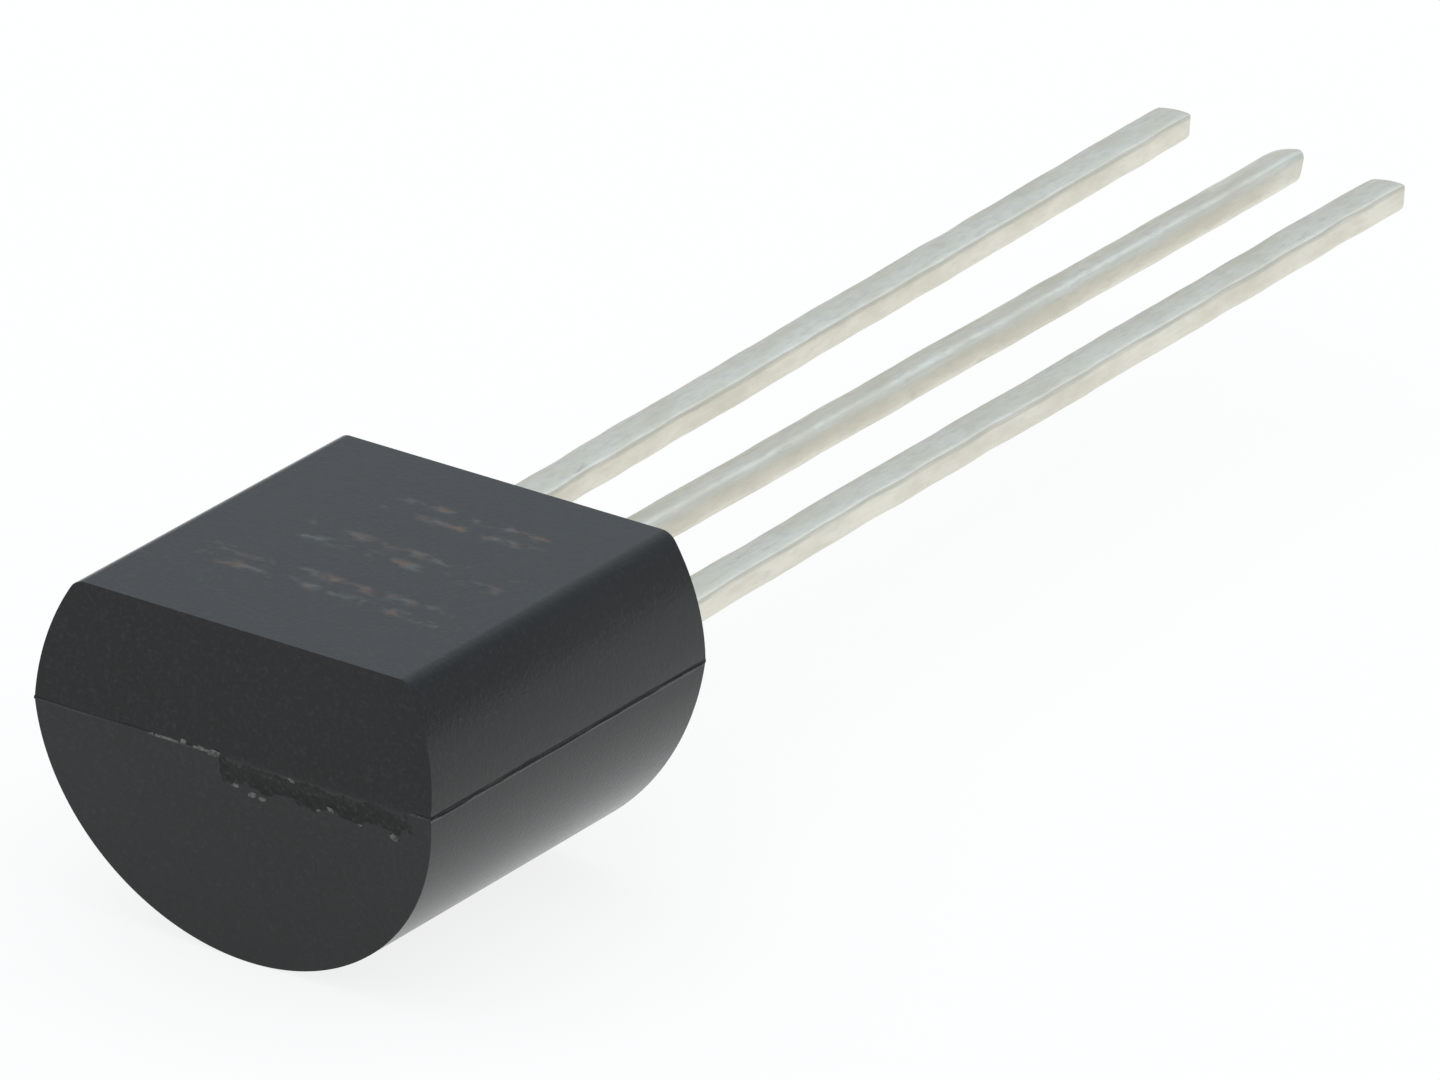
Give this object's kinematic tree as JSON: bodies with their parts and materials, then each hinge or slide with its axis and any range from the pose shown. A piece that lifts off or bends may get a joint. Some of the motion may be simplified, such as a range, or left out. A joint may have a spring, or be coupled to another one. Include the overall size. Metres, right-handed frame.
{
  "type": "voltage reference chip",
  "caption": "Shunt voltage reference in a black moulded D-section package, marking flat up, with straight tinned leads out of one end.",
  "frame": {"origin": "centre of the middle lead where it leaves the body, on the parting plane of the mould, which is also the plane of the leads' top faces", "axes": "+Y out along the leads, +Z the outward normal of the marking flat, +X across the package from the cathode lead to the reference lead"},
  "size_m": [0.0046, 0.0189, 0.0035],
  "materials": {
    "moulding_compound": "black silica-filled epoxy, transfer moulded in a fine-eroded mould, dull satin",
    "tinned_lead": "copper alloy strip, stamped, matt tin plated",
    "die_attach_epoxy": "silver-filled epoxy, cured",
    "silicon": "polished and passivated silicon",
    "gold_wire": "drawn gold bond wire"
  },
  "bodies": {
    "root": {"moulded_body": "moulding_compound", "cathode_lead": "tinned_lead", "anode_lead": "tinned_lead", "reference_lead": "tinned_lead", "die_attach": "die_attach_epoxy", "silicon_die": "silicon", "cathode_wire": "gold_wire", "anode_wire": "gold_wire", "reference_wire": "gold_wire"}
  },
  "joints": []
}
